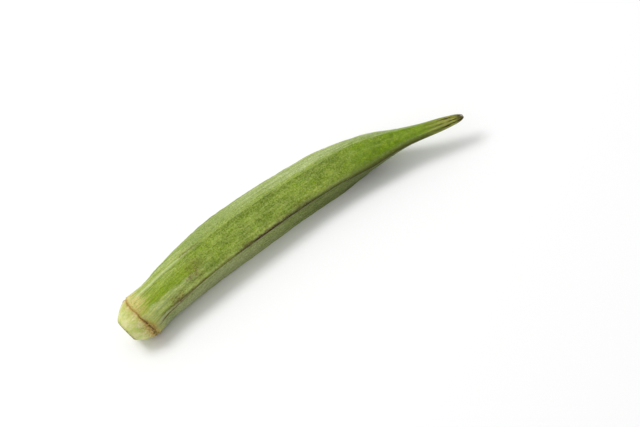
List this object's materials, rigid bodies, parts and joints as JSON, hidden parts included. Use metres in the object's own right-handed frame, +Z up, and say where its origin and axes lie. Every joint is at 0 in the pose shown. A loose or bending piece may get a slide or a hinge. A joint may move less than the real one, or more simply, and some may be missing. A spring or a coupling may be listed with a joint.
{
  "type": "okra pod",
  "caption": "Slender, gently bowed okra pod with raised ridges, a trimmed stem end with its ring scar and a long tapering beak, lying on its side.",
  "frame": {"origin": "middle of the pod's footprint, on the surface that it lies on", "axes": "+X from the cut stem to the tip, +Y towards the outside of the pod's bow, +Z up"},
  "size_m": [0.1386, 0.0268, 0.0176],
  "materials": {
    "pod_skin": "Fresh plant skin: yellow-green, faintly waxy and downy, with pale streaks along the ridges and brown marks at the scar, the cut and the tip."
  },
  "bodies": {
    "root": {"okra_pod": "pod_skin"}
  },
  "joints": []
}
